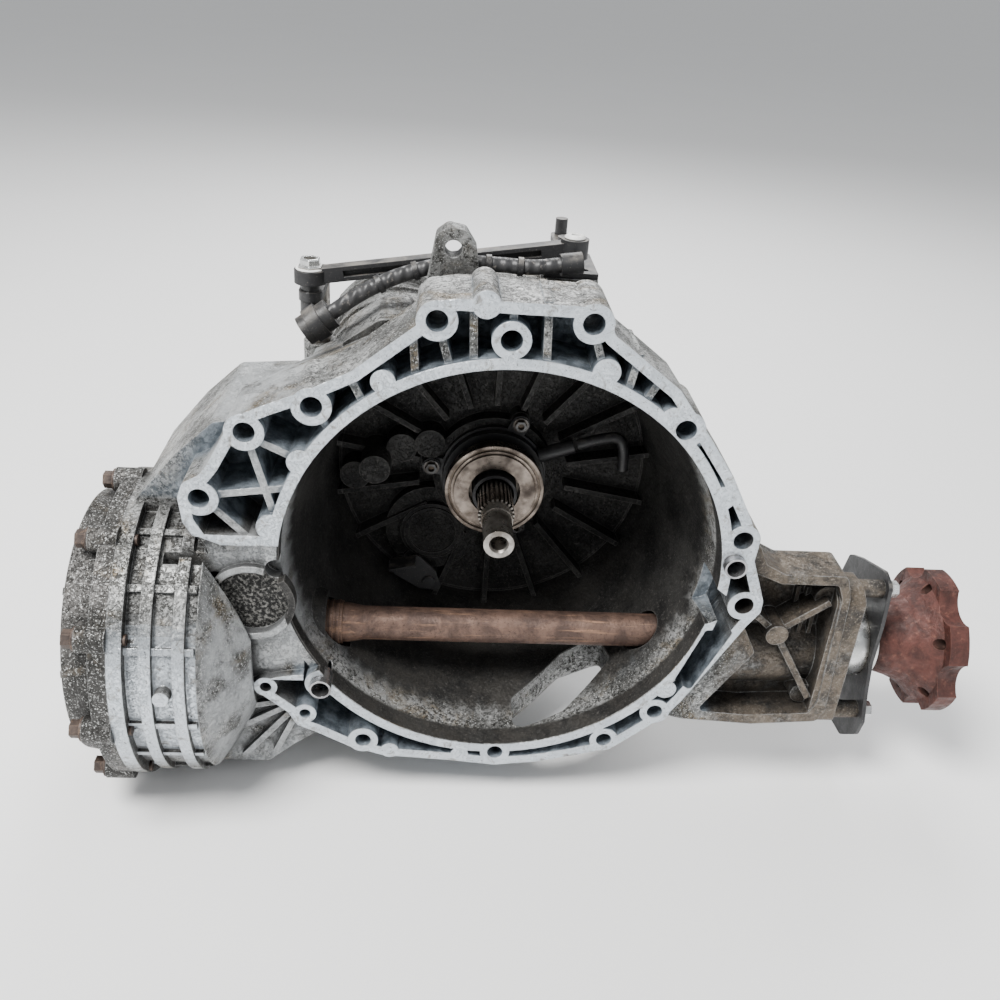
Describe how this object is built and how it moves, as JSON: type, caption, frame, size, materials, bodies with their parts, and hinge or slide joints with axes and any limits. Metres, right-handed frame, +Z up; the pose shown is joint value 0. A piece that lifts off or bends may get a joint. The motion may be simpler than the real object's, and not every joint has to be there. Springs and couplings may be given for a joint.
{
  "type": "manual transmission",
  "caption": "Manual transaxle with open bell housing, input shaft, release bearing, gear train, differential, cross shaft, drive flanges and shift link.",
  "frame": {"origin": "input-shaft axis in the plane of the engine mounting face", "axes": "+X towards the lobed drive flange on the cross shaft, +Y back from the engine into the gearbox, +Z up"},
  "size_m": [0.673, 0.5754, 0.4225],
  "materials": {
    "cast_aluminium": "rough cast, weathered",
    "cover_aluminium": "rough cast, dark weathered",
    "gear_steel": "ground",
    "shaft_steel": "turned, oiled",
    "rusty_steel": "surface rust",
    "black_plastic": "matt",
    "black_steel": "matt black coating",
    "zinc": "bright zinc plated",
    "bronze": "machined",
    "rubber": "matt"
  },
  "bodies": {
    "casing": {"clutch_housing": "cast_aluminium", "bell_back_wall": "cast_aluminium", "gear_case": "cast_aluminium", "rear_cover": "cast_aluminium", "differential_cover": "cover_aluminium", "bearing_cups": "gear_steel", "slave_cylinder": "black_plastic", "hydraulic_pipe": "black_plastic", "wiring_loom": "black_plastic", "loom_fittings": "black_plastic", "selector_housing": "cast_aluminium", "relay_bracket": "black_steel", "shield_plate": "black_steel", "shield_bolts": "zinc", "zinc_sleeve": "zinc", "shaft_seals": "rubber", "dowel_sleeves": "gear_steel", "case_bolts": "zinc", "rear_cover_bolts": "zinc", "differential_cover_bolts": "rusty_steel", "slave_bolts": "zinc", "guard_plate": "black_steel", "case_plugs": "gear_steel"},
    "input": {"input_shaft": "shaft_steel", "input_gears": "gear_steel"},
    "output": {"output_shaft": "shaft_steel", "synchro_hubs": "gear_steel"},
    "first_gear": {"first_speed_gear": "gear_steel"},
    "second_gear": {"second_speed_gear": "gear_steel"},
    "third_gear": {"third_speed_gear": "gear_steel"},
    "fourth_gear": {"fourth_speed_gear": "gear_steel"},
    "fifth_gear": {"fifth_speed_gear": "gear_steel"},
    "sixth_gear": {"sixth_speed_gear": "gear_steel"},
    "reverse_gear": {"reverse_speed_gear": "gear_steel"},
    "reverse_idler": {"reverse_idler_gear": "gear_steel"},
    "sleeve_12": {"shift_sleeve_12": "gear_steel"},
    "sleeve_34": {"shift_sleeve_34": "gear_steel"},
    "sleeve_56": {"shift_sleeve_56": "gear_steel"},
    "sleeve_r": {"shift_sleeve_r": "gear_steel"},
    "fork_12": {"shift_fork_12": "bronze"},
    "fork_34": {"shift_fork_34": "bronze"},
    "fork_56": {"shift_fork_56": "bronze"},
    "fork_r": {"shift_fork_r": "bronze"},
    "pinion": {"pinion_shaft": "shaft_steel"},
    "carrier": {"crown_wheel": "gear_steel", "differential_carrier": "rusty_steel", "differential_pin": "shaft_steel"},
    "planet_upper": {"planet_gear_upper": "gear_steel"},
    "planet_lower": {"planet_gear_lower": "gear_steel"},
    "left_output": {"side_gear_left": "gear_steel", "drive_flange_left": "black_steel"},
    "right_output": {"side_gear_right": "gear_steel", "cross_shaft": "rusty_steel", "drive_flange_right": "rusty_steel"},
    "release": {"release_bearing": "gear_steel"},
    "release_ring": {"release_bearing_ring": "gear_steel"},
    "selector": {"selector_shaft": "shaft_steel", "selector_lever": "black_steel"},
    "relay": {"relay_lever": "black_steel"},
    "link": {"link_rod": "black_plastic"}
  },
  "joints": [
    {"name": "input_spin", "type": "hinge", "parent": "casing", "child": "input", "pos_m": [0, 0.3, 0], "axis": [0, 1, 0], "continuous": true},
    {"name": "first_gear_spin", "type": "hinge", "parent": "casing", "child": "first_gear", "pos_m": [-0.04875, 0.3, -0.057], "axis": [0, 1, 0], "continuous": true},
    {"name": "second_gear_spin", "type": "hinge", "parent": "casing", "child": "second_gear", "pos_m": [-0.04875, 0.3, -0.057], "axis": [0, 1, 0], "continuous": true},
    {"name": "third_gear_spin", "type": "hinge", "parent": "casing", "child": "third_gear", "pos_m": [-0.04875, 0.3, -0.057], "axis": [0, 1, 0], "continuous": true},
    {"name": "fourth_gear_spin", "type": "hinge", "parent": "casing", "child": "fourth_gear", "pos_m": [-0.04875, 0.3, -0.057], "axis": [0, 1, 0], "continuous": true},
    {"name": "fifth_gear_spin", "type": "hinge", "parent": "casing", "child": "fifth_gear", "pos_m": [-0.04875, 0.3, -0.057], "axis": [0, 1, 0], "continuous": true},
    {"name": "sixth_gear_spin", "type": "hinge", "parent": "casing", "child": "sixth_gear", "pos_m": [-0.04875, 0.3, -0.057], "axis": [0, 1, 0], "continuous": true},
    {"name": "reverse_idler_spin", "type": "hinge", "parent": "casing", "child": "reverse_idler", "pos_m": [0.01825, 0.327, -0.03672], "axis": [0, 1, 0], "continuous": true},
    {"name": "reverse_gear_spin", "type": "hinge", "parent": "casing", "child": "reverse_gear", "pos_m": [-0.04875, 0.327, -0.057], "axis": [0, 1, 0], "continuous": true},
    {"name": "final_drive_spin", "type": "hinge", "parent": "casing", "child": "carrier", "pos_m": [-0.246, 0.06, -0.086], "axis": [1, 0, 0], "continuous": true},
    {"name": "pinion_spin", "type": "hinge", "parent": "casing", "child": "pinion", "pos_m": [-0.1852, 0.2, -0.086], "axis": [0, 1, 0], "continuous": true},
    {"name": "output_spin", "type": "hinge", "parent": "casing", "child": "output", "pos_m": [-0.04875, 0.2, -0.057], "axis": [0, 1, 0], "continuous": true},
    {"name": "fork_12_slide", "type": "slide", "parent": "casing", "child": "fork_12", "axis": [0, 1, 0], "range_m": [-0.0075, 0.0075]},
    {"name": "sleeve_12_slide", "type": "slide", "parent": "output", "child": "sleeve_12", "axis": [0, 1, 0], "range_m": [-0.0075, 0.0075]},
    {"name": "fork_56_slide", "type": "slide", "parent": "casing", "child": "fork_56", "axis": [0, 1, 0], "range_m": [-0.0075, 0.0075]},
    {"name": "sleeve_56_slide", "type": "slide", "parent": "output", "child": "sleeve_56", "axis": [0, 1, 0], "range_m": [-0.0075, 0.0075]},
    {"name": "fork_r_slide", "type": "slide", "parent": "casing", "child": "fork_r", "axis": [0, 1, 0], "range_m": [0, 0.0075]},
    {"name": "sleeve_r_slide", "type": "slide", "parent": "output", "child": "sleeve_r", "axis": [0, 1, 0], "range_m": [0, 0.0075]},
    {"name": "relay_lever_turn", "type": "hinge", "parent": "casing", "child": "relay", "pos_m": [0.048, 0.207, 0.18], "axis": [0, 0, 1], "range_deg": [-17.5, 17.5]},
    {"name": "fork_34_slide", "type": "slide", "parent": "casing", "child": "fork_34", "axis": [0, 1, 0], "range_m": [-0.0076, 0.0076]},
    {"name": "sleeve_34_slide", "type": "slide", "parent": "output", "child": "sleeve_34", "axis": [0, 1, 0], "range_m": [-0.0076, 0.0076]},
    {"name": "selector_shaft_turn", "type": "hinge", "parent": "casing", "child": "selector", "pos_m": [-0.146, 0.207, 0.1], "axis": [0, 0, 1], "range_deg": [-18, 18]},
    {"name": "link_rod_pivot", "type": "hinge", "parent": "relay", "child": "link", "pos_m": [0.048, 0.15, 0.194], "axis": [0, 0, 1], "range_deg": [-18, 18]},
    {"name": "right_output_spin", "type": "hinge", "parent": "carrier", "child": "right_output", "pos_m": [0.3, 0.06, -0.086], "axis": [1, 0, 0], "continuous": true},
    {"name": "left_output_spin", "type": "hinge", "parent": "carrier", "child": "left_output", "pos_m": [-0.3, 0.06, -0.086], "axis": [1, 0, 0], "continuous": true},
    {"name": "planet_upper_spin", "type": "hinge", "parent": "carrier", "child": "planet_upper", "pos_m": [-0.246, 0.06, -0.066], "axis": [0, 0, 1], "continuous": true},
    {"name": "planet_lower_spin", "type": "hinge", "parent": "carrier", "child": "planet_lower", "pos_m": [-0.246, 0.06, -0.106], "axis": [0, 0, 1], "continuous": true},
    {"name": "release_slide", "type": "slide", "parent": "casing", "child": "release", "axis": [0, -1, 0], "range_m": [0, 0.01]},
    {"name": "release_ring_spin", "type": "hinge", "parent": "release", "child": "release_ring", "pos_m": [0, 0.13, 0], "axis": [0, 1, 0], "continuous": true}
  ],
  "couplings": [
    {"joint": "first_gear_spin", "follows": "input_spin", "ratio": -0.2931},
    {"joint": "second_gear_spin", "follows": "input_spin", "ratio": -0.53061},
    {"joint": "third_gear_spin", "follows": "input_spin", "ratio": -0.78571},
    {"joint": "fourth_gear_spin", "follows": "input_spin", "ratio": -1.0833},
    {"joint": "fifth_gear_spin", "follows": "input_spin", "ratio": -1.4194},
    {"joint": "sixth_gear_spin", "follows": "input_spin", "ratio": -1.7778},
    {"joint": "reverse_idler_spin", "follows": "input_spin", "ratio": -0.70833},
    {"joint": "reverse_gear_spin", "follows": "input_spin", "ratio": 0.36957},
    {"joint": "pinion_spin", "follows": "final_drive_spin", "ratio": 3.4167},
    {"joint": "output_spin", "follows": "final_drive_spin", "ratio": -4.9452},
    {"joint": "sleeve_12_slide", "follows": "fork_12_slide", "ratio": 1},
    {"joint": "sleeve_56_slide", "follows": "fork_56_slide", "ratio": 1},
    {"joint": "sleeve_r_slide", "follows": "fork_r_slide", "ratio": 1},
    {"joint": "fork_34_slide", "follows": "relay_lever_turn", "m_per_rad": 0.0245},
    {"joint": "sleeve_34_slide", "follows": "relay_lever_turn", "m_per_rad": 0.0245},
    {"joint": "selector_shaft_turn", "follows": "relay_lever_turn", "ratio": 1},
    {"joint": "link_rod_pivot", "follows": "relay_lever_turn", "ratio": -1},
    {"joint": "left_output_spin", "follows": "right_output_spin", "ratio": -1},
    {"joint": "planet_upper_spin", "follows": "right_output_spin", "ratio": -1.6},
    {"joint": "planet_lower_spin", "follows": "right_output_spin", "ratio": 1.6}
  ]
}
